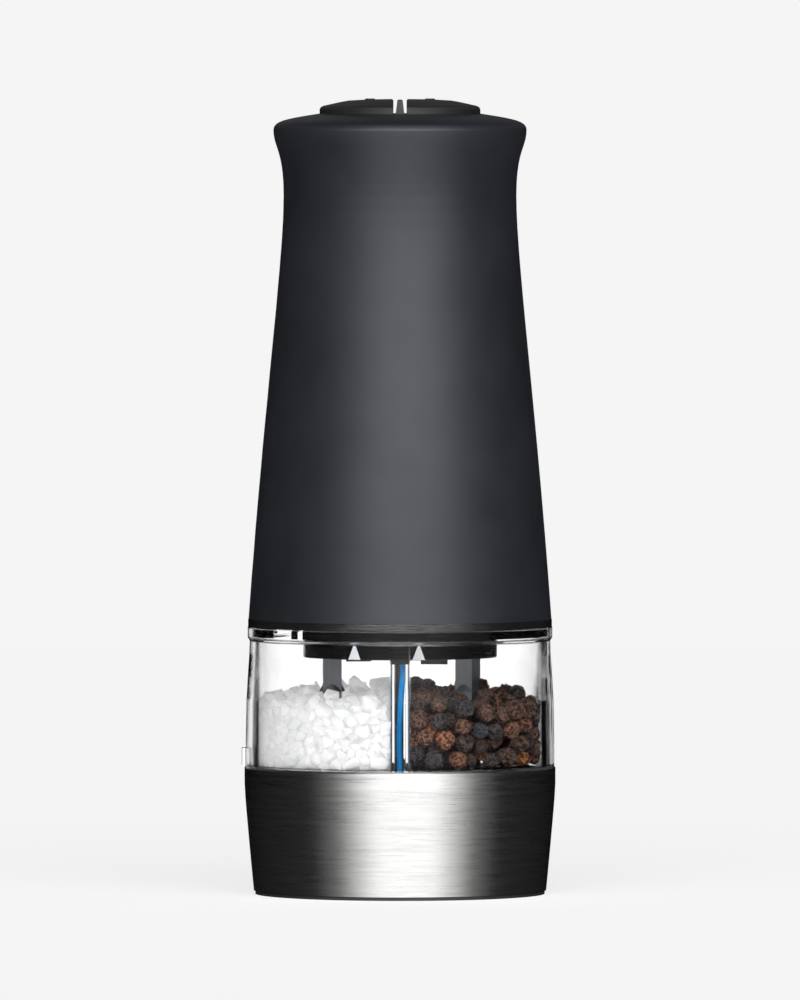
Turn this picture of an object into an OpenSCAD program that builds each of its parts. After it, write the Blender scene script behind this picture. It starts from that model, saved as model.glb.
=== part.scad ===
// Battery-driven salt and pepper mill with two chambers and two push buttons.
// It stands on its foot ring. The origin is the centre of the foot ring on the
// ground plane, +Z is up, salt is on -X and pepper on +X, and the front faces -Y.

/* [Base] */
// Radius of the steel sleeve where it meets the hopper
sleeve_top_r = 38.9; // [38.8:0.1:39.2]
// Radius of the steel sleeve at the foot
sleeve_foot_r = 36.5; // [36.4:0.1:37]
// Thickness of the sheet steel
sleeve_wall = 0.8; // [0.6:0.1:0.8]

/* [Hopper] */
// Radius of the two chambers' outer walls, measured inside
chamber_r = 35.5; // [35:0.1:35.8]
// Half the thickness of the web between the chambers
web_half = 1.85; // [1.8:0.05:2]
// Corner radius of each D-shaped chamber
chamber_corner_r = 0.6; // [0.4:0.1:2]
// Height of the salt over the hopper floor
salt_depth = 20; // [8:1:24]
// Height of the peppercorns over the hopper floor
pepper_depth = 20; // [8:1:24]

/* [Housing] */
// Radius of the housing at its lower rim
housing_foot_r = 37.9; // [37.7:0.1:38.2]
// Radius of the housing at its waist
waist_r = 29.1; // [28.8:0.1:29.6]
// Radius of the housing at its upper lip
lip_r = 31.65; // [31:0.05:32]
// Wall thickness of the housing
housing_wall = 2; // [1.6:0.1:2.1]

/* [Buttons] */
// Radius of the round button pair
button_r = 20.1; // [19.8:0.1:20.2]
// Half the gap between the two buttons
button_gap = 1.65; // [1.6:0.05:2.2]
// Height of the mark on each button
mark_h = 0.3; // [0.2:0.1:0.5]

/* [Grinders] */
// Distance of each grinder's axis from the centre
axis_x = 17; // [16.8:0.1:17]
// Width of the square drive shafts
shaft_w = 4.7; // [4.6:0.1:5]
// Turn of the salt shaft about its axis
salt_turn = 2; // [0:1:45]
// Turn of the pepper shaft about its axis
pepper_turn = 62; // [45:1:90]

/* [Hidden] */
$fn = 96;

// Heights of the main joints between pieces
sleeve_z = 0.9;
sleeve_top_z = 32;
floor_low_z = 30.3;
floor_z = 32.3;
chamber_top_z = 64.2;
boss_z = 58.85;
deck_z = 66.9;
rim_z = 68.7;
waist_z = 174.75;
lip_z = 191;
shoulder_z = 195.1;
ceiling_z = 192.9;

// Base
tube_bore_r = 13;
tube_r = 14.2;
carrier_r = 35.4;
carrier_low_z = 2.8;
carrier_top_z = 30;
carrier_deck = 2;
sleeve_bulge_z = 27;
plate_top_z = 2.7;
base_screw_r = 27;
base_screw_angles = [60, 120, 240, 300];

// Screws shared by the base plate and the motor frame
screw_shank_r = 1.2;
screw_clearance_r = 1.4;
pilot_r = 1.25;
slot_w = 0.6;
slot_long = 3;

// Grinders
burr_low_z = 10;
burr_top_z = 24;
shaft_seat_z = 31;
bearing_r = 3.9;
clip_z = 25;
collar_z = 49.8;

// Channel and contact block in the web between the chambers
channel_half = 1.4;
block_half = 2.1;
block_low_z = 58.7;
block_long = 70.4;
contact_y = 4;
contact_z = 64.5;
blue_wire_r = 0.62;
black_wire_r = 1.05;
wire_sides = 10;
board_low_z = 12;
board_top_z = 13;

// Power unit
boss_r = 24.3;
band_r = 38;
hopper_rim_bore_r = 37.2;
mark_places = [-11.2, 4.65];
mark_tall = 4.45;
mark_wide = 3.1;
socket_r = 4.6;
running_gap = 0.05;
pin_r = 0.8;
post_top_z = 80;
frame_top_z = 82.4;
motor_low_z = 82.5;
motor_top_z = 107.5;
motor_r = 10;
tower_y = 21;
frame_screw_r = 27;
frame_screw_angles = [65, 115, 245, 295];
socket_w = shaft_w + 0.2;

// Planetary stage: ring fixed in the case, planets on the carrier, sun on the motor
gear_module = 0.5;
gear_pressure = 25;
sun_teeth = 12;
planet_teeth = 18;
ring_teeth = 48;
tooth_thinning = 0.05;
gear_z = 74.2;
gear_h = 4;
planet_orbit = gear_module * (sun_teeth + planet_teeth) / 2;
planet_pin_r = 1;

// Battery pack
cell_r = 5.25;
cell_h = 44.4;
cell_orbit = 13.5;
pack_r = 21.5;
pack_foot_z = 118;
pack_low_z = 121;
pack_high_z = 168.6;
pack_top_z = 171;
board_seat_z = 174;
switch_z = 175.2;
strip_t = 0.4;

// Buttons
stem_x = 9.5;
stem_r = 2.5;
stem_low_z = 183.1;
plunger_r = 1.6;
plunger_low_z = 178.2;
seat_z = 184;
seat_top_z = 186;
fin_top_z = 198.5;
spring_top_z = 196.4;
button_low_z = 191.7;
button_top_z = 198.8;
opening_r = 20.4;

// A point on a cubic curve through four control points
function curve_at(p, t) =
    pow(1 - t, 3) * p[0] + 3 * pow(1 - t, 2) * t * p[1]
    + 3 * (1 - t) * t * t * p[2] + pow(t, 3) * p[3];

// The points along a cubic curve, without the first one
function curve(p, steps) = [for (i = [1:steps]) curve_at(p, i / steps)];

// Housing outline from its lower rim to the lip, then over the shoulder
function housing_side(inset) = concat(
    [[housing_foot_r - inset, rim_z + 0.05]],
    curve([[housing_foot_r - inset, rim_z + 0.05], [housing_foot_r - inset - 3.85, 122.7],
           [waist_r - inset, 158], [waist_r - inset, waist_z]], 14),
    curve([[waist_r - inset, waist_z], [waist_r - inset, 186],
           [lip_r - inset, 186.7], [lip_r - inset, lip_z]], 10)
);
function housing_shoulder() = curve(
    [[lip_r, lip_z], [lip_r, 193.3], [28.7, 193.8], [opening_r, shoulder_z]], 10);

// Radius of the steel sleeve at height z
function sleeve_radius(z) = sleeve_top_r
    - (sleeve_top_r - sleeve_foot_r) * pow(max(0, 1 - z / sleeve_bulge_z), 1.1);

// Involute helpers: polar angle of the flank at radius r, in degrees
function roll(r, rb) = let (a = acos(min(1, rb / r))) tan(a) * 180 / PI - a;
function flank(r, teeth, half_width) =
    let (rp = gear_module * teeth / 2, rb = rp * cos(gear_pressure))
    half_width / rp * 180 / PI + roll(rp, rb) - roll(max(r, rb), rb);

// Outline of a gear with involute flanks between two radii, a tooth centred on +X
function gear_outline(teeth, low_r, high_r, half_width) = [
    for (i = [0:teeth - 1])
        for (k = [-3:3])
            if (k != 0)
                let (
                    r = low_r + (high_r - low_r) * (3 - abs(k)) / 2,
                    a = i * 360 / teeth + sign(k) * flank(r, teeth, half_width)
                )
                [r * cos(a), r * sin(a)]
];
half_tooth = PI * gear_module / 4;

// Plain turned shapes between two heights, all standing on Z
module ring(r_out, r_in, z0, z1) {
    translate([0, 0, z0])
        difference() {
            cylinder(h = z1 - z0, r = r_out);
            translate([0, 0, -1])
                cylinder(h = z1 - z0 + 2, r = r_in);
        }
}

module rod(r, z0, z1) {
    translate([0, 0, z0])
        cylinder(h = z1 - z0, r = r);
}

module block(x, y, z0, z1) {
    translate([-x / 2, -y / 2, z0])
        cube([x, y, z1 - z0]);
}

module at_axis(side) {
    translate([side * axis_x, 0, 0])
        children();
}

module at_angles(r, angles) {
    for (a = angles)
        rotate([0, 0, a])
            translate([r, 0, 0])
                children();
}

// Wire or spring swept along points, with a round section of a given number of sides
module sweep(points, r, sides) {
    n = len(points);
    function along(i) = let (d = points[min(i + 1, n - 1)] - points[max(i - 1, 0)]) d / norm(d);
    function across(t) = let (c = cross(t, abs(t[1]) < 0.8 ? [0, 1, 0] : [1, 0, 0])) c / norm(c);
    rings = [
        for (i = [0:n - 1])
            let (t = along(i), u = across(t), v = cross(t, u))
            for (k = [0:sides - 1])
                points[i] + r * (cos(k * 360 / sides) * u + sin(k * 360 / sides) * v)
    ];
    walls = [
        for (i = [0:n - 2])
            for (k = [0:sides - 1])
                let (a = i * sides + k, b = i * sides + (k + 1) % sides)
                [a, a + sides, b + sides, b]
    ];
    low = [for (k = [0:sides - 1]) k];
    high = [for (k = [0:sides - 1]) n * sides - 1 - k];
    polyhedron(points = rings, faces = concat([low], walls, [high]), convexity = 10);
}

module coil(r, wire_r, z0, z1, turns, steps, sides) {
    sweep([
        for (i = [0:turns * steps])
            let (t = i / (turns * steps))
            [r * cos(i * 360 / steps), r * sin(i * 360 / steps),
             z0 + wire_r + (z1 - z0 - 2 * wire_r) * t]
    ], wire_r, sides);
}

// D-shaped chamber outline on +X, with rounded corners, true arcs all round
module chamber_outline(r, web, corner) {
    cx = web + corner;
    cy = sqrt(pow(r - corner, 2) - cx * cx);
    k = r / (r - corner);
    difference() {
        intersection() {
            circle(r = r);
            translate([web, -r])
                square([r, 2 * r]);
        }
        for (s = [-1, 1])
            polygon([[cx, s * cy], [web, s * cy], [web - 1, s * (r + 1)],
                     [cx * k + 0.5, s * (r + 1)], [cx * k, s * cy * k]]);
    }
    for (s = [-1, 1])
        translate([cx, s * cy])
            circle(r = corner, $fn = 32);
}

module chamber(side, r, web, corner, z0, z1) {
    translate([0, 0, z0])
        mirror([side < 0 ? 1 : 0, 0, 0])
            linear_extrude(height = z1 - z0)
                chamber_outline(r, web, corner);
}

// Rolled sheet sleeve that widens from the foot to the hopper
module steel_sleeve() {
    heights = [for (i = [0:8]) sleeve_z + (sleeve_top_z - 0.4 - sleeve_z) * i / 8];
    outer = [for (z = heights) [sleeve_radius(z), z]];
    inner = [for (i = [8:-1:0]) [sleeve_radius(heights[i]) - sleeve_wall, heights[i]]];
    color("silver")
        rotate_extrude()
            polygon(concat(outer, [[sleeve_top_r - 0.3, sleeve_top_z],
                    [sleeve_top_r - sleeve_wall, sleeve_top_z]], inner));
}

// Moulded carrier inside the sleeve, with a tube round each grinder
module base_carrier() {
    color("dimgray")
        difference() {
            union() {
                ring(carrier_r, carrier_r - 1.6, carrier_low_z, carrier_top_z);
                rod(carrier_r, carrier_top_z - carrier_deck, carrier_top_z);
                for (side = [-1, 1])
                    at_axis(side)
                        rod(tube_r, 4.2, carrier_top_z);
                at_angles(base_screw_r, base_screw_angles)
                    rod(3, carrier_low_z, carrier_top_z - 1);
                for (y = [-7, 7])
                    translate([0, y, 0])
                        block(12, 3, 13, 16);
            }
            for (side = [-1, 1])
                at_axis(side)
                    rod(tube_bore_r, 0, carrier_top_z + 1);
            at_angles(base_screw_r, base_screw_angles)
                rod(pilot_r, 2, 12);
            translate([0, -12.5, 0])
                block(4, 35, 27, carrier_top_z + 1);
        }
}

// Foot ring and closing plate, screwed on from below
module base_plate() {
    color("black")
        difference() {
            rotate_extrude()
                polygon([[0, 1.2], [33.3, 1.2], [33.5, 0], [36.2, 0], [36.2, 0.8],
                         [35.5, 0.8], [35.5, plate_top_z], [0, plate_top_z]]);
            for (side = [-1, 1])
                at_axis(side)
                    rod(tube_bore_r, -1, 4);
            rod(2.7, -1, 4);
            at_angles(base_screw_r, base_screw_angles)
                rod(screw_clearance_r, -1, 4);
        }
}

module base_screws() {
    color("silver")
        at_angles(base_screw_r, base_screw_angles)
            difference() {
                union() {
                    rod(2.2, 0.2, 1.15, $fn = 32);
                    rod(screw_shank_r, 1, 11, $fn = 32);
                }
                block(slot_w, slot_long, 0, 0.6);
                block(slot_long, slot_w, 0, 0.6);
            }
}

// Clear hopper: two D chambers either side of a hollow web, on a plug and flange
module hopper() {
    color("lightcyan", 0.35)
        difference() {
            union() {
                rotate_extrude()
                    polygon([[0, floor_low_z], [35.5, floor_low_z], [35.7, 27.6], [37.9, 27.6],
                             [37.9, 32.1], [38.6, 32.15], [38.6, 38], [38.4, 48.5],
                             [38.1, 54], [37.7, 60], [37.6, 63.4], [38.1, 64.2],
                             [38.1, 66.8], [0, 66.8]]);
                intersection() {
                    rod(39.6, 32.15, 36.5);
                    translate([-37, 0, 0])
                        block(8, 5, 32.15, 36.5);
                }
            }
            rod(hopper_rim_bore_r, chamber_top_z, 70);
            for (side = [-1, 1]) {
                chamber(side, chamber_r, web_half, chamber_corner_r, floor_z, 65);
                at_axis(side)
                    rod(12.4, 29, 34);
            }
            block(2 * channel_half, 70, 29, 66);
            block(2 * block_half + 0.1, block_long + 0.2, block_low_z - 0.01, 66);
        }
}

// Bar on top of the web, between the chambers, that holds the two spring-pin pads
module contact_block() {
    color("black")
        union() {
            block(2 * block_half, block_long, block_low_z, contact_z - 0.1);
            block(2 * block_half, 16, chamber_top_z, contact_z);
        }
}

module contact_pads() {
    color("gold")
        for (y = [-contact_y, contact_y])
            translate([0, y, 0])
                rod(1.4, contact_z, contact_z + 0.2, $fn = 32);
}

module blue_wire() {
    color("dodgerblue")
        sweep([[0.6, -26, 58.65], [0.7, -26, 55.8], [0.45, -26, 53.2], [0.25, -26, 50],
               [0.1, -26, 47], [-0.1, -26, 43], [-0.15, -26, 39], [-0.05, -26, 35],
               [0, -26, 31], [0, -25.9, 28.5], [0, -25.2, 26.2], [0.1, -22.5, 24],
               [0.3, -18, 22.3], [0.5, -12, 20.6], [0.6, -6.5, 19], [0.6, -3.8, 17.2],
               [0.5, -3, 15], [0.5, -3, 13.1]], blue_wire_r, wire_sides);
}

module black_wire() {
    color("black")
        sweep([[-0.15, -24.1, 58.65], [-0.1, -24.1, 55], [-0.25, -24.1, 50],
               [-0.3, -24.1, 45], [-0.3, -24.1, 40], [-0.3, -24.1, 34],
               [-0.3, -23.9, 30], [-0.4, -22.6, 27.3], [-0.5, -19.8, 25.4],
               [-0.5, -13, 23.8], [-0.6, -6, 22.4], [-0.6, -1, 20.6],
               [-0.5, 2.3, 18.2], [-0.5, 3.2, 15.5], [-0.5, 3.2, 13.1]],
              black_wire_r, wire_sides);
}

// Lamp under the board, shining down through the lens in the base plate
module led_lamp() {
    color("white")
        union() {
            rod(1.5, 5, 11.4, $fn = 48);
            rod(1.9, 11, board_low_z, $fn = 48);
        }
}

module led_board() {
    color("darkgreen")
        block(5, 17, board_low_z, board_top_z);
}

module led_lens() {
    color("white", 0.5)
        union() {
            rod(2.6, 0.9, plate_top_z, $fn = 48);
            rod(3.2, plate_top_z, 3.5, $fn = 48);
        }
}

// Fixed outer burr with a toothed bore and a flared mouth
module stator() {
    teeth = 24;
    groove = [
        for (i = [0:teeth - 1])
            for (k = [0:1])
                let (a = (i + k / 2) * 360 / teeth, r = k == 0 ? 11 : 10.2)
                [r * cos(a), r * sin(a)]
    ];
    color("ivory")
        difference() {
            rod(12.95, burr_low_z, burr_top_z);
            translate([0, 0, 9])
                linear_extrude(height = 16)
                    polygon(groove);
            translate([0, 0, 19])
                cylinder(h = 5.1, r1 = 9.7, r2 = 12.1);
        }
}

// Turning inner burr, a toothed cone on the square shaft
module rotor(turn) {
    teeth = 16;
    outline = [
        for (i = [0:teeth - 1])
            for (k = [0:3])
                let (a = (i + k / 4) * 360 / teeth, r = k < 2 ? 9.6 : 8.7)
                [r * cos(a), r * sin(a)]
    ];
    color("ivory")
        difference() {
            intersection() {
                translate([0, 0, burr_low_z])
                    linear_extrude(height = 12)
                        polygon(outline);
                translate([0, 0, 9.9])
                    cylinder(h = 12.2, r1 = 10.4, r2 = 5.4);
            }
            rotate([0, 0, turn])
                block(socket_w, socket_w, 9, 23);
        }
}

// Three-legged bearing over the burrs, between tube and hopper floor
module bridge() {
    color("dimgray")
        difference() {
            union() {
                ring(12.9, 11.4, 24.2, 28.6);
                rod(6, 26, 30.8);
                for (a = [90, 210, 330])
                    rotate([0, 0, a])
                        translate([8.5, 0, 0])
                            block(7, 2.4, 26, 28.6);
            }
            rod(bearing_r + running_gap, 24, 32);
        }
}

// Salt or peppercorns as one solid, with a clear hole round the shaft
module fill(side, depth) {
    difference() {
        chamber(side, chamber_r - 0.2, web_half + 0.2, chamber_corner_r - 0.2,
                floor_z + 0.1, floor_z + depth);
        at_axis(side)
            rod(5.4, 30, 62);
    }
}

// Square drive shaft with its bearing, thrust collar and lower pin
module shaft(turn) {
    color("slategray")
        difference() {
            union() {
                rotate([0, 0, turn])
                    block(shaft_w, shaft_w, burr_low_z, 71);
                rod(bearing_r, 24.6, shaft_seat_z + 0.2);
                rod(5, shaft_seat_z, 32);
                rod(2, 3.6, burr_low_z + 1);
                translate([0, 0, collar_z])
                    cylinder(h = 2.3, r1 = 3.3, r2 = 2.1);
            }
            ring(6, 3.4, clip_z, clip_z + 0.8);
        }
}

// Spring clip in the shaft's groove, under the bridge
module clip() {
    color("silver")
        difference() {
            ring(5.6, 3.45, clip_z + 0.05, clip_z + 0.75);
            translate([4, 0, 0])
                block(6, 4, 24, 27);
        }
}

// Grind-setting knob on the shaft's lower pin
module adjuster() {
    color("dimgray")
        difference() {
            union() {
                rod(7, 3.2, 6.6);
                rod(4.4, 6, 9.9);
                for (i = [0:17])
                    rotate([0, 0, i * 20])
                        translate([7, 0, 0])
                            block(1, 1, 3.2, 6.6);
            }
            rod(2 + running_gap, 2, 12);
        }
}

// Floor of the power unit: band, skirt into the hopper, boss with two sockets
module power_base() {
    color([0.03, 0.03, 0.035])
        difference() {
            union() {
                rod(band_r, deck_z, rim_z);
                ring(hopper_rim_bore_r - 0.3, 34.2, 64.6, deck_z + 0.1);
                ring(35.2, 33.2, rim_z - 0.1, 73.5);
                rotate_extrude()
                    polygon([[0, boss_z], [boss_r - 0.2, boss_z], [boss_r, boss_z + 0.2],
                             [boss_r, deck_z + 0.1], [0, deck_z + 0.1]]);
                at_angles(frame_screw_r, frame_screw_angles)
                    rod(3.4, rim_z - 0.1, post_top_z);
                translate([-10.2, -18.4, 0])
                    block(6.2, 3, boss_z - 0.5, boss_z + 1);
                translate([8.4, -20, 0])
                    block(6.6, 3, boss_z - 1.1, boss_z + 1);
            }
            block(2 * (block_half + 0.2), 60, 57, 64.9);
            translate([-28.9, 0, 0])
                block(4.3, 64, 64, deck_z);
            translate([-24.6, 0, 0])
                block(1.2, 64, 64, deck_z);
            for (side = [-1, 1])
                at_axis(side)
                    rod(socket_r + running_gap, 58, 70);
            for (y = [-contact_y, contact_y])
                translate([0, y, 0])
                    rod(pin_r + running_gap, 64, 70);
            at_angles(frame_screw_r, frame_screw_angles)
                rod(pilot_r, 72, 81);
        }
}

// Two inlaid marks on the boss that show which way round the hopper goes
module triangle_marks() {
    color("white")
        for (x = mark_places)
            intersection() {
                ring(boss_r + 0.25, boss_r + 0.01, boss_z, 64);
                translate([x, -20, 0])
                    rotate([90, 0, 0])
                        linear_extrude(height = 8)
                            translate([0, boss_z + 0.15])
                                polygon([[-mark_wide / 2, 0], [mark_wide / 2, 0],
                                         [0, mark_tall]]);
            }
}

module contact_pins() {
    color("gold")
        for (y = [-contact_y, contact_y])
            translate([0, y, 0])
                union() {
                    rod(pin_r, contact_z + 0.25, 71, $fn = 32);
                    rod(1.3, 68.75, 69.6, $fn = 32);
                }
}

// Ring gear and case, fixed on the power unit's floor
module gear_case() {
    color("whitesmoke")
        difference() {
            rod(14.8, rim_z, post_top_z - 0.2);
            rod(12.9, 70.2, gear_z - 0.3);
            rod(socket_r + running_gap, 68, 71);
            translate([0, 0, gear_z - 1])
                linear_extrude(height = 8)
                    rotate([0, 0, 180 / ring_teeth])
                        polygon(gear_outline(ring_teeth,
                            gear_module * (ring_teeth / 2 - 0.8),
                            gear_module * (ring_teeth / 2 + 1),
                            half_tooth + tooth_thinning));
        }
}

// Planet carrier whose square socket drives the shaft
module carrier(turn) {
    color("steelblue")
        difference() {
            union() {
                rod(socket_r, boss_z + 0.5, 73);
                rod(9.9, 71.9, 73.9);
                for (a = [0, 120, 240])
                    rotate([0, 0, a])
                        translate([planet_orbit, 0, 0])
                            rod(planet_pin_r, 73.5, 78.6, $fn = 48);
            }
            rotate([0, 0, turn])
                block(socket_w, socket_w, boss_z - 1, 71.4);
        }
}

module planet(index) {
    a = index * 120;
    color("khaki")
        rotate([0, 0, a])
            translate([planet_orbit, 0, 0])
                difference() {
                    translate([0, 0, gear_z])
                        linear_extrude(height = gear_h)
                            rotate([0, 0, 180 / planet_teeth])
                                polygon(gear_outline(planet_teeth,
                                    gear_module * (planet_teeth / 2 - 1),
                                    gear_module * (planet_teeth / 2 + 0.8),
                                    half_tooth - tooth_thinning));
                    rod(planet_pin_r + running_gap, 72, 80, $fn = 48);
                }
}

module sun_gear() {
    color("goldenrod")
        union() {
            translate([0, 0, gear_z])
                linear_extrude(height = gear_h)
                    polygon(gear_outline(sun_teeth,
                        gear_module * (sun_teeth / 2 - 1),
                        gear_module * (sun_teeth / 2 + 0.8),
                        half_tooth - tooth_thinning));
            rod(1, gear_z, 88, $fn = 48);
        }
}

// Flat-sided motor can with its bearing and two terminals
module motor() {
    color("silver")
        difference() {
            union() {
                intersection() {
                    rod(motor_r, motor_low_z, motor_top_z);
                    block(2 * motor_r, 15, motor_low_z - 1, motor_top_z + 1);
                }
                rod(3, motor_top_z - 0.5, 109.5);
                for (y = [-4.5, 4.5])
                    translate([0, y, 0])
                        block(2, 0.5, motor_top_z - 0.5, 112);
            }
            rod(1 + running_gap, 81, 90, $fn = 48);
        }
}

// Deck over the gear cases, with walls round the motors and two towers
module motor_frame() {
    color([0.1, 0.1, 0.11])
        difference() {
            union() {
                rod(33, post_top_z, frame_top_z);
                for (y = [-tower_y, tower_y])
                    translate([0, y, 0])
                        rod(3.6, 82, pack_foot_z);
                for (y = [-8.8, 8.8])
                    translate([0, y, 0])
                        block(50, 2.4, 82, 98);
                for (y = [-14.5, 14.5])
                    translate([0, y, 0])
                        block(2.4, 10, 82, 98);
            }
            for (side = [-1, 1])
                at_axis(side)
                    rod(1.6, 79, 84, $fn = 48);
            at_angles(frame_screw_r, frame_screw_angles)
                rod(screw_clearance_r, 79, 84);
        }
}

module frame_screws() {
    color("silver")
        at_angles(frame_screw_r, frame_screw_angles)
            difference() {
                union() {
                    rod(2.3, frame_top_z, 83.9, $fn = 32);
                    rod(screw_shank_r, 73, 83, $fn = 32);
                }
                block(slot_w, slot_long, 83.3, 85);
                block(slot_long, slot_w, 83.3, 85);
            }
}

// Holder for six cells round a core, with feet for the switch board
module battery_holder() {
    color([0.12, 0.12, 0.13])
        difference() {
            union() {
                rod(pack_r, pack_foot_z, pack_low_z);
                rod(pack_r, pack_high_z, pack_top_z);
                rod(15.5, pack_low_z + 0.6, pack_high_z - 0.6);
                rod(8, 120, 170);
                for (x = [-14, 14])
                    translate([x, 10, 0])
                        rod(2.4, pack_top_z - 1, board_seat_z);
                translate([0, -17, 0])
                    rod(2.4, pack_top_z - 1, board_seat_z);
            }
            at_angles(cell_orbit, [0:60:300])
                rod(cell_r + 0.15, pack_low_z, pack_high_z);
        }
}

module battery_cells() {
    color("darkorange")
        for (i = [0:5])
            rotate([0, 0, i * 60])
                translate([cell_orbit, 0, 0])
                    translate([0, 0, i % 2 == 0 ? 123.8 : 165.8])
                        mirror([0, 0, i % 2])
                            union() {
                                cylinder(h = cell_h - 1, r = cell_r);
                                cylinder(h = cell_h, r = 1.9, $fn = 32);
                            }
}

module battery_springs() {
    color("silver")
        for (i = [0:5])
            rotate([0, 0, i * 60])
                translate([cell_orbit, 0, i % 2 == 0 ? pack_low_z + strip_t : 165.85])
                    coil(2.6, 0.35, 0, 2.35, 2, 12, 6);
}

// Contact strip across one or two neighbouring cells
module strip(angles, z) {
    union() {
        for (a = angles)
            rotate([0, 0, a])
                translate([cell_orbit, 0, 0])
                    rod(4, z, z + strip_t, $fn = 32);
        if (len(angles) > 1)
            rotate([0, 0, (angles[0] + angles[1]) / 2])
                translate([cell_orbit * cos(30), 0, 0])
                    block(5, cell_orbit, z, z + strip_t);
    }
}

module battery_strips() {
    color("gold")
        union() {
            for (a = [0, 120, 240])
                strip([a, a + 60], pack_low_z);
            for (a = [60, 180])
                strip([a, a + 60], pack_high_z - strip_t);
            for (a = [0, 300])
                strip([a], pack_high_z - strip_t);
        }
}

module switch_board() {
    color("darkgreen")
        rod(19.5, board_seat_z, switch_z);
}

module push_switches() {
    color("black")
        for (side = [-1, 1])
            translate([side * stem_x, 0, 0])
                difference() {
                    union() {
                        block(6.2, 6.2, switch_z, 178.6);
                        rod(2.6, 178, 179.8, $fn = 48);
                    }
                    rod(plunger_r + running_gap, switch_z + 1, 181, $fn = 48);
                }
}

module plunger() {
    color("ivory")
        rod(plunger_r, plunger_low_z, stem_low_z - 0.05, $fn = 48);
}

// Waisted outer housing with the shoulder round the buttons
module housing() {
    color([0.07, 0.07, 0.08])
        rotate_extrude()
            polygon(concat(
                housing_side(0),
                housing_shoulder(),
                [[opening_r, ceiling_z], [27, 192.2], [lip_r - housing_wall - 1, lip_z]],
                [for (i = [len(housing_side(0)) - 2:-1:0]) housing_side(housing_wall)[i]]
            ));
}

// Plate and ring under the shoulder, with the fin between the buttons
module button_seat() {
    color([0.05, 0.05, 0.055])
        difference() {
            union() {
                rod(26.9, seat_z, seat_top_z);
                ring(26, 24, seat_top_z - 0.5, 192.1);
                intersection() {
                    rod(19.9, seat_z + 1, 199);
                    translate([0, 20, 0])
                        rotate([90, 0, 0])
                            linear_extrude(height = 40)
                                polygon([[-1.1, seat_top_z - 0.5], [1.1, seat_top_z - 0.5],
                                         [1.1, 194.8], [0.7, fin_top_z - 0.3],
                                         [0.5, fin_top_z], [-0.5, fin_top_z],
                                         [-0.7, fin_top_z - 0.3], [-1.1, 194.8]]);
                }
            }
            for (side = [-1, 1])
                translate([side * stem_x, 0, 0])
                    rod(stem_r + running_gap, 183, 187, $fn = 48);
        }
}

// Half-moon cap on +X with a retaining flange, hollow below, and its stem
module button_body() {
    difference() {
        union() {
            difference() {
                rotate_extrude()
                    polygon([[0, button_low_z], [21.5, button_low_z], [21.5, 192.6],
                             [button_r, 192.7], [button_r, 196.2], [button_r - 0.3, 196.75],
                             [19.1, 197.1], [17.3, 197.5], [14.8, 198.05], [12.8, 198.4],
                             [8, 198.68], [0, button_top_z]]);
                rotate_extrude()
                    polygon([[0, 190], [18.4, 190], [18.4, 195.6], [15.5, 196.3],
                             [8, 197], [0, 197.2]]);
            }
            intersection() {
                rod(19, 193, 197.2);
                translate([button_gap + 0.75, 0, 0])
                    block(1.5, 36, 193, 197);
            }
            translate([stem_x, 0, 0])
                rod(stem_r, stem_low_z, 197.5, $fn = 48);
            translate([stem_x - 2, 0, 0])
                rod(1.2, 198, 198.6 + mark_h, $fn = 32);
        }
        translate([button_gap - 50, -50, 180])
            cube([50, 100, 30]);
        translate([button_gap, 0, button_top_z])
            rotate([0, 45, 0])
                cube([0.6, 100, 0.6], center = true);
    }
}

module salt_button() {
    color([0.08, 0.08, 0.09])
        mirror([1, 0, 0])
            button_body();
}

module pepper_button() {
    color([0.08, 0.08, 0.09])
        button_body();
}

module button_spring() {
    color("silver")
        coil(3.3, 0.35, seat_top_z + 0.05, spring_top_z, 6, 12, 6);
}

steel_sleeve();
base_carrier();
base_plate();
base_screws();
hopper();
contact_block();
contact_pads();
blue_wire();
black_wire();
led_lamp();
led_board();
led_lens();
at_axis(-1) stator();  // salt_stator
at_axis(1) stator();  // pepper_stator
at_axis(-1) bridge();  // salt_bridge
at_axis(1) bridge();  // pepper_bridge
color("white") fill(-1, salt_depth);  // salt_fill
color("saddlebrown") fill(1, pepper_depth);  // pepper_fill
at_axis(-1) shaft(salt_turn);  // salt_shaft
at_axis(1) shaft(pepper_turn);  // pepper_shaft
at_axis(-1) clip();  // salt_clip
at_axis(1) clip();  // pepper_clip
at_axis(-1) rotor(salt_turn);  // salt_rotor
at_axis(1) rotor(pepper_turn);  // pepper_rotor
at_axis(-1) adjuster();  // salt_adjuster
at_axis(1) adjuster();  // pepper_adjuster
power_base();
triangle_marks();
contact_pins();
at_axis(-1) gear_case();  // salt_gear_case
at_axis(1) gear_case();  // pepper_gear_case
at_axis(-1) carrier(salt_turn);  // salt_carrier
at_axis(1) carrier(pepper_turn);  // pepper_carrier
at_axis(-1) planet(0);  // salt_planet_1
at_axis(-1) planet(1);  // salt_planet_2
at_axis(-1) planet(2);  // salt_planet_3
at_axis(1) planet(0);  // pepper_planet_1
at_axis(1) planet(1);  // pepper_planet_2
at_axis(1) planet(2);  // pepper_planet_3
at_axis(-1) sun_gear();  // salt_sun_gear
at_axis(1) sun_gear();  // pepper_sun_gear
at_axis(-1) motor();  // salt_motor
at_axis(1) motor();  // pepper_motor
motor_frame();
frame_screws();
battery_holder();
battery_cells();
battery_springs();
battery_strips();
switch_board();
push_switches();
translate([-stem_x, 0, 0]) plunger();  // salt_plunger
translate([stem_x, 0, 0]) plunger();  // pepper_plunger
housing();
button_seat();
salt_button();
pepper_button();
translate([-stem_x, 0, 0]) button_spring();  // salt_button_spring
translate([stem_x, 0, 0]) button_spring();  // pepper_button_spring
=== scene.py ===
import math
import random

import bmesh
import bpy
import numpy as np
from mathutils import Matrix, Vector, noise


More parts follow.
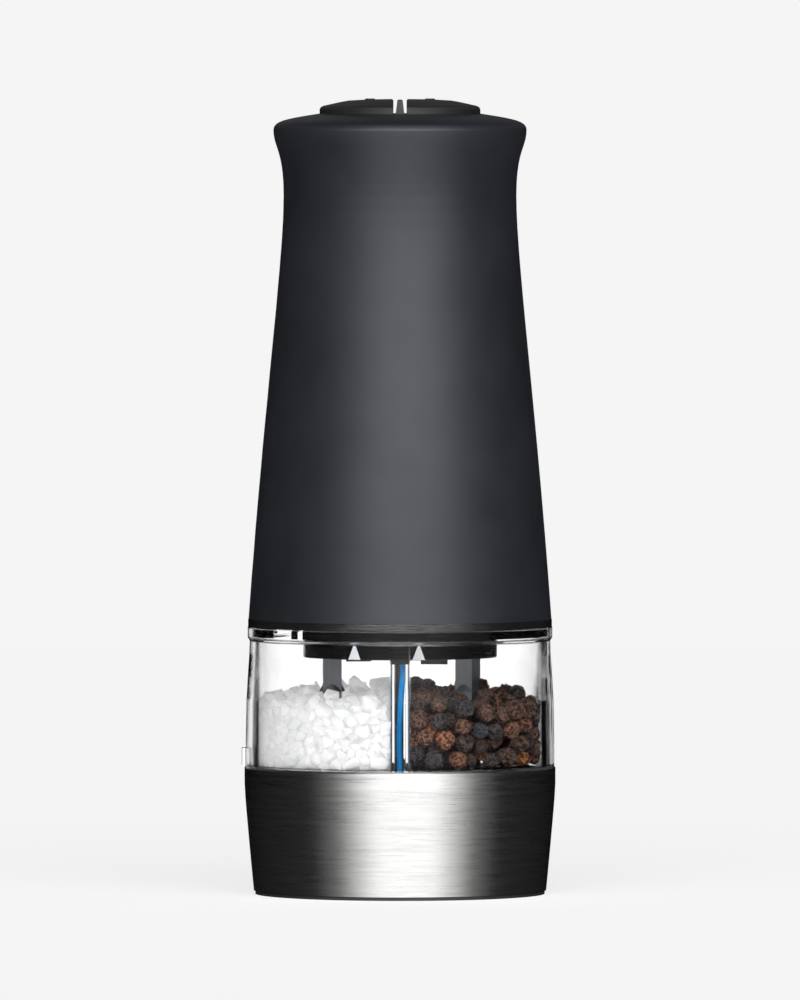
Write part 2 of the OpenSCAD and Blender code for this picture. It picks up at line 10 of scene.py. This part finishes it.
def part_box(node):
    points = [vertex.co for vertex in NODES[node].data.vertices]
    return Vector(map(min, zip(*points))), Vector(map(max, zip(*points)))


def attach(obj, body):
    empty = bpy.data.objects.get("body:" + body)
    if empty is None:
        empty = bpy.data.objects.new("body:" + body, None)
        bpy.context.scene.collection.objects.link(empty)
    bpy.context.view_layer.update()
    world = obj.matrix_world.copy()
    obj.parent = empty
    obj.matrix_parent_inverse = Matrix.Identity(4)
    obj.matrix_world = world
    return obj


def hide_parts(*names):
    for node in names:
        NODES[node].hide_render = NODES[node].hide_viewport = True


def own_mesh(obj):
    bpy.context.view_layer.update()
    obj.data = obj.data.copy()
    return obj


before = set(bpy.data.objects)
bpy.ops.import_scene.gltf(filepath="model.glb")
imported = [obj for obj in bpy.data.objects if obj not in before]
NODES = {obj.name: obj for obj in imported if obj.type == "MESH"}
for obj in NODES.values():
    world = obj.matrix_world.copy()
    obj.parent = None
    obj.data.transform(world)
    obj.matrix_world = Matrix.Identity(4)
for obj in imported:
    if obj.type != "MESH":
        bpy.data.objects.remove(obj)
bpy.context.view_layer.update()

MM = 0.001
WHITE = (1.0, 1.0, 1.0, 1.0)
SIDES = ("salt", "pepper")

# ---------------------------------------------------------------- camera

LENS = 612.0  # in mm, as the sensor: a long lens from far back, so little perspective
SENSOR_WIDTH = 36.0
CAMERA_BACK = 4.25
CAMERA_UP = 0.2235
AIM_UP = 0.0985
FAR_END = 60.0


def add_camera():
    data = bpy.data.cameras.new("camera")
    data.lens = LENS
    data.sensor_width = SENSOR_WIDTH
    data.clip_end = FAR_END
    cam = bpy.data.objects.new("camera", data)
    bpy.context.scene.collection.objects.link(cam)
    cam.location = (0.0, -CAMERA_BACK, CAMERA_UP)
    aim = Vector((0.0, 0.0, AIM_UP)) - cam.location
    cam.rotation_euler = aim.to_track_quat("-Z", "Y").to_euler()
    bpy.context.scene.camera = cam


add_camera()
bpy.context.scene.view_settings.view_transform = "Standard"

# ---------------------------------------------------------------- node helpers


class NodeBuilder:
    """Short calls for building a node tree."""

    def __init__(self, node_tree):
        self.nodes = node_tree.nodes
        self.links = node_tree.links

    def node(self, kind, **settings):
        made = self.nodes.new(kind)
        for key, value in settings.items():
            setattr(made, key, value)
        return made

    def link(self, source, target):
        self.links.new(source, target)

    def put(self, target, value):
        if isinstance(value, bpy.types.NodeSocket):
            self.link(value, target)
        else:
            target.default_value = value

    def math(self, operation, a, b=0.0):
        made = self.node("ShaderNodeMath", operation=operation)
        self.put(made.inputs[0], a)
        self.put(made.inputs[1], b)
        return made.outputs[0]

    def parts(self, vector):
        made = self.node("ShaderNodeSeparateXYZ")
        self.link(vector, made.inputs[0])
        return made.outputs

    def ramp(self, source, stops):
        """A colour ramp. A stop's value is a colour or a grey level."""
        made = self.node("ShaderNodeValToRGB")
        self.link(source, made.inputs["Fac"])
        line = made.color_ramp.elements
        while len(line) < len(stops):
            line.new(0.5)
        for element, (at, value) in zip(line, stops):
            element.position = at
            element.color = rgba(value if isinstance(value, tuple) else (value,) * 3)
        return made.outputs["Color"]


class Tree(NodeBuilder):
    """A material with one Principled shader."""

    def __init__(self, name):
        self.material = bpy.data.materials.new(name)
        self.material.use_nodes = True
        super().__init__(self.material.node_tree)
        self.shader = self.nodes["Principled BSDF"]

    def set(self, **values):
        for key, value in values.items():
            self.put(self.shader.inputs[key.replace("_", " ")], value)

    def place(self):
        return self.node("ShaderNodeTexCoord").outputs["Object"]

    def scaled(self, source, scale):
        mapping = self.node("ShaderNodeMapping")
        self.link(source, mapping.inputs["Vector"])
        mapping.inputs["Scale"].default_value = scale
        return mapping.outputs["Vector"]

    def round_z(self, turn_scale, height_scale):
        """Coordinates that follow the angle about Z and the height."""
        x, y, z = self.parts(self.place())
        made = self.node("ShaderNodeCombineXYZ")
        angle = self.math("ARCTAN2", y, x)
        self.link(self.math("MULTIPLY", angle, turn_scale), made.inputs["X"])
        self.link(self.math("MULTIPLY", z, height_scale), made.inputs["Z"])
        return made.outputs[0]

    def noise(self, vector, scale, detail=3.0, rough=0.5):
        made = self.node("ShaderNodeTexNoise")
        self.link(vector, made.inputs["Vector"])
        made.inputs["Scale"].default_value = scale
        made.inputs["Detail"].default_value = detail
        made.inputs["Roughness"].default_value = rough
        return made.outputs["Fac"]

    def between(self, source, low, high, start=0.0, end=1.0):
        made = self.node("ShaderNodeMapRange")
        self.put(made.inputs["Value"], source)
        made.inputs["From Min"].default_value = start
        made.inputs["From Max"].default_value = end
        made.inputs["To Min"].default_value = low
        made.inputs["To Max"].default_value = high
        return made.outputs["Result"]

    def bump(self, source, strength, distance):
        made = self.node("ShaderNodeBump")
        self.link(source, made.inputs["Height"])
        made.inputs["Strength"].default_value = strength
        made.inputs["Distance"].default_value = distance
        self.link(made.outputs["Normal"], self.shader.inputs["Normal"])
        return made


MOTTLE_SCALE = 60.0
GLOSS_SCALE = 140.0
GRAIN_DEPTH = 0.03 * MM
STREAK_ACROSS = 9000.0
STREAK_ALONG = 30.0
BAND_BLEND = 0.2 * MM
ACRYLIC_IOR = 1.49
SALT_PAINTED_GLOW = 0.14  # stands in for the light that salt passes on from grain to grain


def shade(k):
    """A neutral grey with the slight blue of black plastic."""
    return (k * 0.97, k * 0.99, k * 1.04)


def rgba(colour):
    return (*colour, 1.0)


def moulded(name, dark, light, rough, grain, gleam=None):
    """Moulded plastic or paint: faint mottling, grained bump and uneven gloss."""
    tree = Tree(name)
    place = tree.place()
    mottle = tree.noise(place, MOTTLE_SCALE, 4.0)
    grains = tree.noise(place, grain, 2.0, 0.6)
    tree.set(Base_Color=tree.ramp(mottle, [(0.3, dark), (0.7, light)]))
    gloss = tree.noise(place, GLOSS_SCALE, 3.0)
    tree.set(Roughness=tree.between(gloss, rough * 0.88, rough * 1.12))
    if gleam:
        tree.set(Specular_Tint=rgba(gleam))
    tree.bump(grains, 0.35, GRAIN_DEPTH)
    return tree.material


def metal(name, dark, light, rough, along_z=True):
    """Drawn or turned metal with fine streaks along or round Z."""
    tree = Tree(name)
    side, up = (STREAK_ACROSS, STREAK_ALONG) if along_z else (STREAK_ALONG, STREAK_ACROSS)
    streaks = tree.noise(tree.scaled(tree.place(), (side, side, up)), 1.0, 4.0, 0.6)
    tree.set(
        Base_Color=tree.ramp(streaks, [(0.25, dark), (0.75, light)]),
        Roughness=tree.between(streaks, rough * 0.75, rough * 1.25),
        Metallic=1.0,
    )
    tree.bump(streaks, 0.2, 0.02 * MM)
    return tree.material


def brushed_sleeve():
    """Sheet steel brushed round the sleeve: streaks follow the angle about Z."""
    tree = Tree("brushed_sleeve")
    strokes = tree.round_z(3.0, 2600.0)
    fine = tree.noise(strokes, 1.0, 5.0, 0.7)
    coarse = tree.noise(tree.scaled(strokes, (0.6, 0.6, 0.35)), 1.0, 3.0, 0.6)
    both = tree.math("ADD", tree.math("MULTIPLY", fine, 0.6), tree.math("MULTIPLY", coarse, 0.4))
    tangent = tree.node("ShaderNodeTangent", direction_type="RADIAL", axis="Z")
    tree.set(
        Base_Color=tree.ramp(both, [(0.3, (0.47, 0.47, 0.47)), (0.65, (0.61, 0.605, 0.595))]),
        Roughness=tree.between(both, 0.20, 0.38, 0.3, 0.7),
        Metallic=1.0,
        Anisotropic=0.8,
        Anisotropic_Rotation=0.25,
        Tangent=tangent.outputs["Tangent"],
    )
    tree.bump(both, 0.12, 0.04 * MM)
    return tree.material


def clear_plastic(name, rough, edge=0.0):
    """Clear plastic with faint flow marks from moulding; edge is the radius to which
    sharp edges look softened."""
    tree = Tree(name)
    flow = tree.noise(tree.scaled(tree.place(), (60.0, 60.0, 25.0)), 1.0, 2.0)
    tree.set(
        Base_Color=WHITE,
        Roughness=tree.between(flow, rough * 0.5, rough * 1.5),
        IOR=ACRYLIC_IOR,
        Transmission_Weight=1.0,
    )
    marks = tree.bump(flow, 0.08, 0.4 * MM)
    if edge:
        rounded = tree.node("ShaderNodeBevel", samples=4)
        rounded.inputs["Radius"].default_value = edge
        tree.link(rounded.outputs["Normal"], marks.inputs["Normal"])
    return tree.material


def base_black():
    """Black plastic, satin below; the band above the hopper's rim is polished and
    keeps faint turned lines."""
    tree = Tree("base_black")
    place = tree.place()
    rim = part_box("hopper")[1].z
    band = tree.between(tree.parts(place)["Z"], 0.0, 1.0, rim - BAND_BLEND, rim + BAND_BLEND)
    lines = tree.noise(tree.round_z(3.5, 3800.0), 1.0, 3.0, 0.6)
    mottle = tree.noise(place, MOTTLE_SCALE, 4.0)
    tree.set(
        Base_Color=tree.ramp(mottle, [(0.3, shade(0.006)), (0.7, shade(0.012))]),
        Roughness=tree.between(lines, 0.12, 0.30, 0.35, 0.65),
        Specular_IOR_Level=0.2,
        Coat_Weight=tree.between(band, 0.1, 1.0),
        Coat_Roughness=0.05,
    )
    turned = tree.bump(tree.math("MULTIPLY", lines, band), 0.8, 0.12 * MM)
    tree.link(turned.outputs["Normal"], tree.shader.inputs["Coat Normal"])
    return tree.material


def pepper_skin():
    """Dried berry skin: each berry has its own brown, with a painted highlight on the fold
    ridges and painted shade in the creases.
    """
    tree = Tree("pepper_skin")
    own = tree.node("ShaderNodeAttribute", attribute_name="grain_tone")
    tone = tree.ramp(own.outputs["Fac"], [
        (0.0, (0.024, 0.026, 0.034)),
        (0.25, (0.038, 0.025, 0.022)),
        (0.60, (0.072, 0.038, 0.027)),
        (0.88, (0.120, 0.052, 0.030)),
        (0.96, (0.180, 0.070, 0.030)),
        (1.0, (0.36, 0.15, 0.045)),
    ])
    swirl = tree.noise(tree.place(), 800.0, 4.0, 0.6)
    folds = tree.math("SUBTRACT", 1.0, tree.math("ABSOLUTE", tree.math(
        "MULTIPLY", tree.math("SUBTRACT", swirl, 0.5), 5.0)))
    painted_fold_light = tree.node("ShaderNodeMix", data_type="RGBA", blend_type="MULTIPLY")
    painted_fold_light.inputs["Factor"].default_value = 1.0
    tree.link(tone, painted_fold_light.inputs["A"])
    # painted light: the fold ramp darkens the creases as painted shade and lifts the ridges up
    # to 4.6 times as a painted highlight
    tree.link(tree.ramp(folds, [(0.1, (0.3, 0.27, 0.27)), (0.7, (0.75, 0.75, 0.75)),
                                (1.0, (4.6, 4.3, 4.1))]), painted_fold_light.inputs["B"])
    tree.set(
        Base_Color=painted_fold_light.outputs["Result"],
        Roughness=tree.between(folds, 0.60, 0.32),
        Specular_IOR_Level=0.5,
    )
    tree.bump(folds, 1.0, 0.6 * MM)
    return tree.material


def salt_crystal():
    """Cloudy white crystal that light soaks into, with a painted glow: a faint white emission
    stands in for the light passed on from grain to grain.
    """
    tree = Tree("salt_crystal")
    cloud = tree.noise(tree.place(), 500.0, 4.0, 0.6)
    own = tree.node("ShaderNodeAttribute", attribute_name="grain_tone")
    pale = tree.math("MULTIPLY", tree.math("ADD", cloud, own.outputs["Fac"]), 0.5)
    tree.set(
        Base_Color=tree.ramp(pale, [(0.2, (0.84, 0.85, 0.86)), (0.7, (0.92, 0.92, 0.92))]),
        Roughness=tree.between(cloud, 0.35, 0.6),
        Subsurface_Weight=1.0,
        Subsurface_Radius=(1.0, 1.0, 1.0),
        Subsurface_Scale=4.0 * MM,
        # painted glow: the salt emits a little white light of its own, though it is no lamp
        Emission_Color=WHITE,
        Emission_Strength=SALT_PAINTED_GLOW,
    )
    tree.bump(cloud, 0.3, 0.1 * MM)
    return tree.material


# ---------------------------------------------------------------- materials of the CAD nodes

SOFT_TOUCH = moulded("soft_touch", (0.010, 0.011, 0.014), (0.016, 0.017, 0.022), 0.45, 4200.0,
                     gleam=(0.90, 0.93, 1.0))
BUTTON_BLACK = moulded("button_black", shade(0.012), shade(0.018), 0.5, 4200.0)
INNER_BLACK = moulded("inner_black", shade(0.020), shade(0.032), 0.5, 2500.0)
BASE_BLACK = base_black()
FOOT_BLACK = moulded("foot_black", shade(0.012), shade(0.02), 0.55, 2200.0)
STEEL = brushed_sleeve()
SHAFT = metal("shaft_steel", (0.09, 0.095, 0.10), (0.17, 0.18, 0.19), 0.4)
PLATED = metal("plated_steel", (0.55, 0.55, 0.56), (0.8, 0.8, 0.8), 0.25, False)
BRASS = metal("brass", (0.55, 0.38, 0.13), (0.85, 0.65, 0.28), 0.28, False)
CLEAR = clear_plastic("clear_acrylic", 0.02, 0.4 * MM)
LAMP = clear_plastic("lamp_clear", 0.3)
CERAMIC = moulded("ceramic", (0.78, 0.76, 0.70), (0.88, 0.86, 0.81), 0.55, 1800.0)
GEAR = moulded("gear_plastic", (0.68, 0.65, 0.56), (0.78, 0.75, 0.67), 0.4, 1500.0)
BOARD = moulded("board_green", (0.01, 0.11, 0.04), (0.02, 0.17, 0.07), 0.3, 1200.0)
MARK = moulded("white_mark", (0.90, 0.93, 0.97), (0.95, 0.97, 1.0), 0.5, 2200.0)
BLUE = moulded("blue_sleeve", (0.0, 0.25, 0.68), (0.0, 0.33, 0.84), 0.5, 900.0,
               gleam=(0.3, 0.7, 1.0))
BLACK = moulded("black_sleeve", shade(0.01), shade(0.02), 0.3, 900.0)
CELL = moulded("cell_wrap", (0.03, 0.06, 0.10), (0.04, 0.08, 0.14), 0.3, 900.0)

LOOKS = {
    "steel_sleeve": STEEL, "base_carrier": INNER_BLACK, "base_plate": FOOT_BLACK,
    "base_screws": PLATED, "hopper": CLEAR, "contact_block": BASE_BLACK,
    "contact_pads": BRASS, "blue_wire": BLUE, "black_wire": BLACK,
    "led_lamp": LAMP, "led_board": BOARD, "led_lens": LAMP,
    "power_base": BASE_BLACK, "triangle_marks": MARK, "contact_pins": BRASS,
    "motor_frame": INNER_BLACK, "frame_screws": PLATED, "battery_holder": INNER_BLACK,
    "battery_cells": CELL, "battery_springs": PLATED, "battery_strips": BRASS,
    "switch_board": BOARD, "push_switches": INNER_BLACK,
    "housing": SOFT_TOUCH, "button_seat": INNER_BLACK,
}
SIDE_LOOKS = {
    "stator": CERAMIC, "rotor": CERAMIC, "bridge": INNER_BLACK, "shaft": SHAFT,
    "clip": PLATED, "adjuster": INNER_BLACK, "gear_case": GEAR, "carrier": GEAR,
    "planet_1": GEAR, "planet_2": GEAR, "planet_3": GEAR, "sun_gear": BRASS,
    "motor": PLATED, "plunger": GEAR, "button": BUTTON_BLACK, "button_spring": PLATED,
}
for side in SIDES:
    for piece, look in SIDE_LOOKS.items():
        LOOKS[f"{side}_{piece}"] = look

for name, look in LOOKS.items():
    mesh = NODES[name].data
    mesh.materials.clear()
    mesh.materials.append(look)

# ---------------------------------------------------------------- the two fills

FILL_GAP = 0.1 * MM
CHAMBER_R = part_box("pepper_fill")[1].x + FILL_GAP
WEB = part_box("pepper_fill")[0].x - FILL_GAP
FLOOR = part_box("salt_fill")[0].z
AXIS_X = 0.5 * (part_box("pepper_shaft")[0].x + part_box("pepper_shaft")[1].x)
SHAFT_CLEAR = 3.7 * MM

SETTLE_SEED = 11
PICK_SEED = 5
BERRIES, BERRY_TRIES, BERRY_SHAPES, BERRY_DETAIL = 420, 90, 8, 4
BERRY_R = (2.05 * MM, 2.65 * MM)
COARSE_FOLDS, FINE_FOLDS, FOLD_STEEPNESS = 2.3, 4.9, 2.4
CRYSTALS, CRYSTAL_TRIES, CRYSTAL_SHAPES, HULL_POINTS = 2600, 50, 14, 15
CRYSTAL_R = (0.9 * MM, 1.9 * MM)
CRYSTAL_SWELL = 1.45  # broken lumps interlock, so they are drawn larger than their balls
SALT_DROP = 0.9 * MM
SALT_SINK = 0.5 * MM

ON_WALL = 0.35  # share of the tries that lean on the round wall
ON_WEB = 0.12  # share of the tries that lean on the web
WALL_SLACK, WEB_SLACK = 1.0001, 0.999  # keep the balls that just touch
INTO_WALL = 0.3 * MM


def settle(rng, count, radii, top, tries):
    """Drops balls into the chamber on +X one by one, each where it lands lowest."""
    centres = np.zeros((0, 3))
    sizes = np.zeros(0)
    for _ in range(count):
        r = rng.uniform(*radii)
        reach = CHAMBER_R - r
        x = rng.uniform(WEB + r, reach, tries)
        y = rng.uniform(-reach, reach, tries)
        pushed = reach / np.hypot(x, y)
        leans = rng.random(tries) < ON_WALL
        x, y = np.where(leans, x * pushed, x), np.where(leans, y * pushed, y)
        x = np.where(rng.random(tries) < ON_WEB, WEB + r, x)
        inside = x * x + y * y < reach * reach * WALL_SLACK
        inside &= x > WEB + WEB_SLACK * r
        inside &= (x - AXIS_X) ** 2 + y * y > (SHAFT_CLEAR + r) ** 2
        x, y = x[inside], y[inside]
        if not len(x):
            continue
        z = np.full(len(x), FLOOR + r)
        if len(sizes):
            flat = (x[:, None] - centres[:, 0]) ** 2 + (y[:, None] - centres[:, 1]) ** 2
            touch = (sizes + r) ** 2
            lift = np.sqrt(np.maximum(touch - flat, 0.0)) + centres[:, 2]
            z = np.maximum(z, np.where(flat < touch, lift, 0.0).max(1))
        best = int(np.argmin(z))
        if z[best] + r > top:
            break
        centres = np.vstack([centres, (x[best], y[best], z[best])])
        sizes = np.append(sizes, r)
    return centres, sizes


def berry_template(seed, detail):
    """A dried berry: a ball whose skin is drawn into a net of creases."""
    bm = bmesh.new()
    bmesh.ops.create_icosphere(bm, subdivisions=detail, radius=1.0)
    shift = Vector((seed * 7.3, seed * 3.1, seed * 5.7))
    for v in bm.verts:
        p = v.co.copy()
        ridge = 1.0 - abs(noise.noise(p * COARSE_FOLDS + shift)) * FOLD_STEEPNESS
        small = 1.0 - abs(noise.noise(p * FINE_FOLDS + shift * 2.0)) * FOLD_STEEPNESS
        v.co = p * (0.83 + 0.14 * max(ridge, 0.0) ** 2 + 0.08 * max(small, 0.0) ** 2)
    made = [v.co.copy() for v in bm.verts], [[v.index for v in f.verts] for f in bm.faces]
    bm.free()
    return made


def crystal_template(rng):
    """A broken lump of coarse salt: the hull of a few points near a ball."""
    bm = bmesh.new()
    for _ in range(HULL_POINTS):
        p = Vector([rng.gauss(0, 1) for _ in range(3)]).normalized()
        bm.verts.new(p * rng.uniform(0.85, 1.15))
    bmesh.ops.convex_hull(bm, input=bm.verts)
    loose = [v for v in bm.verts if not v.link_faces]
    bmesh.ops.delete(bm, geom=loose, context="VERTS")
    bmesh.ops.recalc_face_normals(bm, faces=bm.faces)
    bm.verts.index_update()
    made = [v.co.copy() for v in bm.verts], [[v.index for v in f.verts] for f in bm.faces]
    bm.free()
    return made


def grains(name, centres, sizes, templates, rng, swell, side, smooth):
    """One mesh of all the grains, each a turned copy of a template with its own tone."""
    points, faces, tones = [], [], []
    first = 0
    for centre, r in zip(centres, sizes):
        shape, loops = templates[rng.randrange(len(templates))]
        turn = Matrix.Rotation(rng.uniform(0, math.tau), 3, Vector(
            [rng.gauss(0, 1) for _ in range(3)]).normalized())
        grain = np.array(shape) @ np.array(turn).T * (r * swell) + centre
        into_wall = rng.uniform(0.0, INTO_WALL)
        grain[:, 0] = np.maximum(grain[:, 0], WEB + into_wall)
        across = np.hypot(grain[:, 0], grain[:, 1])
        grain[:, :2] *= np.minimum(1.0, (CHAMBER_R - into_wall) / across)[:, None]
        grain[:, 2] = np.maximum(grain[:, 2], FLOOR + 0.3 * into_wall)
        grain[:, 0] *= side
        points.append(grain)
        tones += [rng.random()] * len(grain)
        faces += [[first + i for i in (loop if side > 0 else loop[::-1])] for loop in loops]
        first += len(grain)
    mesh = bpy.data.meshes.new(name)
    mesh.from_pydata(np.concatenate(points).tolist(), [], faces)
    mesh.polygons.foreach_set("use_smooth", [smooth] * len(faces))
    layer = mesh.attributes.new("grain_tone", "FLOAT", "POINT")
    layer.data.foreach_set("value", tones)
    mesh.update()
    made = bpy.data.objects.new(name, mesh)
    bpy.context.scene.collection.objects.link(made)
    return made


def add_fills():
    rng = np.random.default_rng(SETTLE_SEED)
    pick = random.Random(PICK_SEED)
    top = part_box("pepper_fill")[1].z
    centres, sizes = settle(rng, BERRIES, BERRY_R, top, BERRY_TRIES)
    shapes = [berry_template(i, BERRY_DETAIL) for i in range(BERRY_SHAPES)]
    berries = grains("peppercorns", centres, sizes, shapes, pick, 1.0, 1, True)
    berries.data.materials.append(pepper_skin())
    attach(berries, "hopper_unit")
    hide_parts("pepper_fill")

    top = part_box("salt_fill")[1].z - SALT_DROP
    centres, sizes = settle(rng, CRYSTALS, CRYSTAL_R, top, CRYSTAL_TRIES)
    centres[:, 2] -= SALT_SINK
    shapes = [crystal_template(pick) for _ in range(CRYSTAL_SHAPES)]
    crystals = grains("salt_crystals", centres, sizes, shapes, pick, CRYSTAL_SWELL, -1, False)
    crystals.data.materials.append(salt_crystal())
    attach(crystals, "hopper_unit")
    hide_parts("salt_fill")


add_fills()

# ---------------------------------------------------------------- button return springs


def add_button_spring(side):
    """A copy of the CAD spring with a mesh of its own, carried by the housing unit in place of
    the CAD node.
    """
    node = f"{side}_button_spring"
    spring = bpy.data.objects.new(f"{node}_pressed", NODES[node].data.copy())
    bpy.context.scene.collection.objects.link(spring)
    spring.matrix_world = NODES[node].matrix_world.copy()
    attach(spring, "housing_unit")
    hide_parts(node)
    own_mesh(spring)


for side in SIDES:
    add_button_spring(side)

# ---------------------------------------------------------------- floor and light

PAPER = 0.913  # the background as the camera sees it
PAPER_THROUGH = 1.25  # the background as seen through clear plastic
PANEL = 6.8  # the soft panel in front, as seen in reflections
PANEL_TURN = math.radians(-5)
FLOOR_RADIUS = 1.6
FLOOR_GLOW = 0.752


def add_floor():
    bpy.ops.mesh.primitive_circle_add(vertices=96, radius=FLOOR_RADIUS, fill_type="NGON")
    floor = bpy.context.object
    floor.name = "floor"
    tree = Tree("floor")
    fibres = tree.noise(tree.place(), 40.0, 3.0)
    tree.set(
        Base_Color=tree.ramp(fibres, [(0.0, 0.24), (1.0, 0.26)]),
        Roughness=0.9,
        Specular_IOR_Level=0.0,
        Emission_Color=WHITE,
        Emission_Strength=FLOOR_GLOW,
    )
    floor.data.materials.append(tree.material)
    floor.visible_glossy = False
    floor.visible_transmission = False


def add_world():
    """White paper behind for what is seen directly or through clear plastic; for
    reflections, a tall soft panel in front and dark sides."""
    world = bpy.data.worlds.new("studio")
    world.use_nodes = True
    sky = NodeBuilder(world.node_tree)
    sky.nodes.clear()

    turned = sky.node("ShaderNodeMapping")
    turned.inputs["Rotation"].default_value = (0.0, 0.0, PANEL_TURN)
    sky.link(sky.node("ShaderNodeTexCoord").outputs["Generated"], turned.inputs["Vector"])
    x, y, z = sky.parts(turned.outputs["Vector"])
    # away is 0 towards the camera and 1 straight behind; height is 0 down and 1 up
    away = sky.math("DIVIDE", sky.math("ARCTAN2", sky.math("ABSOLUTE", x),
                                       sky.math("MULTIPLY", y, -1.0)), math.pi)
    height = sky.math("ADD", sky.math("MULTIPLY", z, 0.5), 0.5)
    panel = sky.ramp(away, [
        (0.00, 1.0), (0.12, 0.97), (0.20, 0.58), (0.30, 0.13), (0.42, 0.018), (0.90, 0.010),
        (1.0, 0.03)])
    rise = sky.ramp(height, [
        (0.0, 0.28), (0.43, 0.28), (0.46, 0.02), (0.565, 0.02), (0.60, 1.0), (0.73, 1.0),
        (0.82, 0.25), (1.0, 0.02)])
    level = sky.math("MULTIPLY", sky.math("MULTIPLY", panel, rise), PANEL)

    behind = sky.ramp(away, [(0.0, 0.0), (0.87, 0.0), (0.905, 1.0), (1.0, 1.0)])
    below = sky.ramp(height, [(0.0, 1.0), (0.40, 1.0), (0.43, 0.0), (1.0, 0.0)])
    paper = sky.math("MULTIPLY", sky.math("MAXIMUM", behind, below), PAPER_THROUGH)
    rays = sky.node("ShaderNodeLightPath")
    through = sky.math("MULTIPLY", rays.outputs["Is Transmission Ray"], paper)

    chosen = sky.node("ShaderNodeMix", data_type="FLOAT")
    sky.link(rays.outputs["Is Camera Ray"], chosen.inputs["Factor"])
    sky.link(sky.math("MAXIMUM", level, through), chosen.inputs["A"])
    chosen.inputs["B"].default_value = PAPER
    background = sky.node("ShaderNodeBackground")
    background.inputs["Color"].default_value = WHITE
    sky.link(chosen.outputs["Result"], background.inputs["Strength"])
    output = sky.node("ShaderNodeOutputWorld")
    sky.link(background.outputs[0], output.inputs["Surface"])
    bpy.context.scene.world = world


def group(name, names):
    """A collection of the named objects, for a light that acts on them alone."""
    made = bpy.data.collections.new(name)
    for each in names:
        made.objects.link(bpy.data.objects[each])
    return made


def add_light(name, power, size, place, aim, only=(), blocked_by=()):
    data = bpy.data.lights.new(name, "AREA")
    data.shape = "RECTANGLE"
    data.size, data.size_y = size
    data.energy = power
    lamp = bpy.data.objects.new(name, data)
    bpy.context.scene.collection.objects.link(lamp)
    lamp.location = place
    lamp.rotation_euler = (Vector(aim) - Vector(place)).to_track_quat("-Z", "Y").to_euler()
    if only:
        lamp.light_linking.receiver_collection = group(name + "_lit", only)
        lamp.light_linking.blocker_collection = group(name + "_blocks", blocked_by)


def add_lights():
    """One soft light over all. The rest is light that comes in through the clear walls,
    which a lamp can't be sampled through, so each acts on the pieces inside alone."""
    add_light("overhead_softbox", 0.6, (0.8, 0.8), (0.0, -0.2, 1.3), (0.0, 0.0, 0.1))

    def cad(*nodes):
        return [NODES[n].name for n in nodes]

    salt, pepper = ["salt_crystals"], ["peppercorns"]
    salt_middle = (-0.017, 0.0, 0.045)
    marks = cad("triangle_marks")
    shafts = cad("salt_shaft", "pepper_shaft")
    inside = pepper + cad("blue_wire", "black_wire") + shafts
    round_them = cad("power_base", "housing", "steel_sleeve", "contact_block")
    add_light("front_light_inside", 7.0, (0.7, 0.7), (-0.3, -1.0, 0.45), (0.0, 0.0, 0.045),
              inside, inside + round_them + salt)
    add_light("salt_light_front", 4.4, (1.2, 1.0), (-0.3, -0.9, 0.25), salt_middle,
              salt + marks, salt)
    add_light("collar_light", 1.3, (0.5, 0.5), (-0.1, -0.57, 0.87), (0.0, 0.0, 0.05),
              shafts, shafts)
    add_light("shaft_light", 8.0, (0.5, 0.5), (-1.0, -0.35, 0.15), (0.0, 0.0, 0.055),
              shafts, shafts)
    add_light("mark_light", 5.2, (0.7, 0.7), (-0.3, -1.0, 0.30), (0.0, 0.0, 0.06),
              marks, marks)
    add_light("salt_light_back", 4.0, (0.9, 0.7), (-0.2, 0.8, 0.45), salt_middle,
              salt, salt)


add_floor()
add_world()
add_lights()
